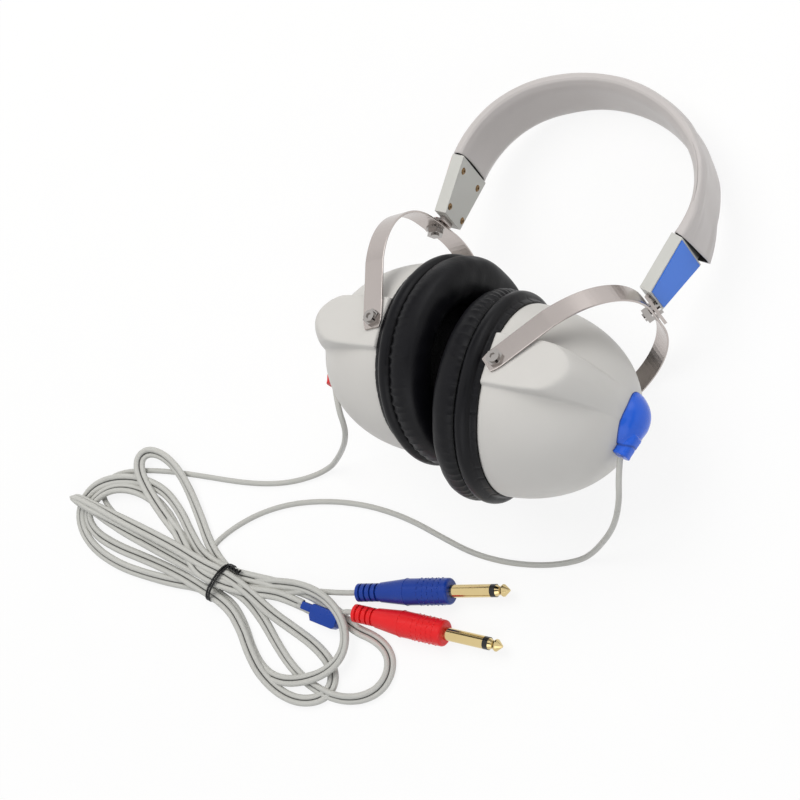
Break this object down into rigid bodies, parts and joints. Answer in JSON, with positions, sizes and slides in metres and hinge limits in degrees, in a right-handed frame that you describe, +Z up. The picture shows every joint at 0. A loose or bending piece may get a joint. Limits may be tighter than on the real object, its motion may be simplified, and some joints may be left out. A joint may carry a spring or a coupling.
{
  "type": "audiometer headset",
  "caption": "Audiometric headset with circumaural cups on steel yokes, sprung sheathed headband, tied grey cord and colour-coded quarter-inch plugs.",
  "frame": {"origin": "centre of the headset's bounding box on the floor it lies on, without its cord", "axes": "+Z up from the floor; +X towards the blue (right-hand) cup; +Y towards the top of the headband. The headset lies on its back as the picture shows it."},
  "size_m": [0.3222, 0.3373, 0.1041],
  "materials": {
    "sheath_pvc": "soft satin PVC sleeve",
    "spring_steel": "plain spring steel strip",
    "pad_foam": "open-cell foam",
    "box_metal": "pale grey enamel on sheet metal",
    "blue_label": "plain blue plate with a thin white edge",
    "red_label": "plain red plate with a thin white edge",
    "eyelet_brass": "rolled brass rivets",
    "stainless": "polished stainless strip",
    "nickel": "bright nickel plate",
    "insert_brass": "turned brass",
    "shell_abs": "fine matt moulded ABS, warm grey",
    "baffle_abs": "black moulding",
    "cushion_vinyl": "black leathercloth over foam, gathered at the edge",
    "ring_vinyl": "black leathercloth over a moulded ring",
    "basket_metal": "pressed basket",
    "magnet_ferrite": "ferrite with a steel cap",
    "diaphragm_film": "thin film",
    "grille_abs": "black moulding",
    "black_foam": "acoustic foam",
    "boot_blue": "glossy blue moulding",
    "boot_red": "glossy red moulding",
    "cord_pvc": "grey PVC cord",
    "tie_black": "black twist tie",
    "clip_blue": "blue moulding",
    "grip_blue": "royal blue moulded grip",
    "grip_red": "red moulded grip",
    "gold": "gold plate",
    "insulator_black": "black ring"
  },
  "bodies": {
    "headband": {"blue_plug_grip": "grip_blue", "blue_tail": "cord_pvc", "box_eyelets": "eyelet_brass", "cable_bundle": "cord_pvc", "cord_clip": "clip_blue", "headband_padding": "pad_foam", "headband_sheath": "sheath_pvc", "headband_spring": "spring_steel", "left_colour_plate": "red_label", "left_lead": "cord_pvc", "left_slider_box": "box_metal", "plug_insulators": "insulator_black", "plug_sleeves": "gold", "plug_tips": "gold", "red_plug_grip": "grip_red", "red_tail": "cord_pvc", "right_colour_plate": "blue_label", "right_lead": "cord_pvc", "right_slider_box": "box_metal", "twist_tie": "tie_black"},
    "left_slide": {"left_slide_bar": "stainless", "left_swivel_nut": "nickel", "left_swivel_screw": "nickel", "left_swivel_washers": "nickel"},
    "left_yoke": {"left_yoke": "stainless"},
    "left_cup": {"left_baffle": "baffle_abs", "left_cord_boot": "boot_red", "left_cup_shell": "shell_abs", "left_cushion_ring": "ring_vinyl", "left_diaphragm": "diaphragm_film", "left_driver_basket": "basket_metal", "left_driver_magnet": "magnet_ferrite", "left_ear_cushion": "cushion_vinyl", "left_grille": "grille_abs", "left_pivot_inserts": "insert_brass", "left_pivot_nuts": "nickel", "left_pivot_screws": "nickel", "left_pivot_spacers": "nickel", "left_screen_foam": "black_foam", "left_shell_foam": "black_foam"},
    "right_slide": {"right_slide_bar": "stainless", "right_swivel_nut": "nickel", "right_swivel_screw": "nickel", "right_swivel_washers": "nickel"},
    "right_yoke": {"right_yoke": "stainless"},
    "right_cup": {"right_baffle": "baffle_abs", "right_cord_boot": "boot_blue", "right_cup_shell": "shell_abs", "right_cushion_ring": "ring_vinyl", "right_diaphragm": "diaphragm_film", "right_driver_basket": "basket_metal", "right_driver_magnet": "magnet_ferrite", "right_ear_cushion": "cushion_vinyl", "right_grille": "grille_abs", "right_pivot_inserts": "insert_brass", "right_pivot_nuts": "nickel", "right_pivot_screws": "nickel", "right_pivot_spacers": "nickel", "right_screen_foam": "black_foam", "right_shell_foam": "black_foam"}
  },
  "joints": [
    {"name": "left_slide_out", "type": "slide", "parent": "headband", "child": "left_slide", "axis": [0.1287, -0.9587, 0.2536], "range_m": [0, 0.018]},
    {"name": "left_yoke_swivel", "type": "hinge", "parent": "left_slide", "child": "left_yoke", "pos_m": [-0.06331, 0.00562, 0.03872], "axis": [-0.4832, 0.8464, -0.224], "range_deg": [-10, 20]},
    {"name": "left_cup_tilt", "type": "hinge", "parent": "left_yoke", "child": "left_cup", "pos_m": [-0.03098, -0.051, 0.0537], "axis": [0.1659, -0.1627, -0.9726], "range_deg": [-15, 20], "deforming": ["left_lead", "left_ear_cushion", "left_cushion_ring"]},
    {"name": "right_slide_out", "type": "slide", "parent": "headband", "child": "right_slide", "axis": [-0.1289, -0.9587, 0.2535], "range_m": [0, 0.018]},
    {"name": "right_yoke_swivel", "type": "hinge", "parent": "right_slide", "child": "right_yoke", "pos_m": [0.06061, 0.00562, 0.03876], "axis": [0.4834, 0.8464, -0.2237], "range_deg": [-20, 10]},
    {"name": "right_cup_tilt", "type": "hinge", "parent": "right_yoke", "child": "right_cup", "pos_m": [0.02827, -0.051, 0.05372], "axis": [-0.0003, 0.2557, 0.9668], "range_deg": [-25, 15], "deforming": ["right_lead", "right_ear_cushion", "right_cushion_ring"]}
  ]
}
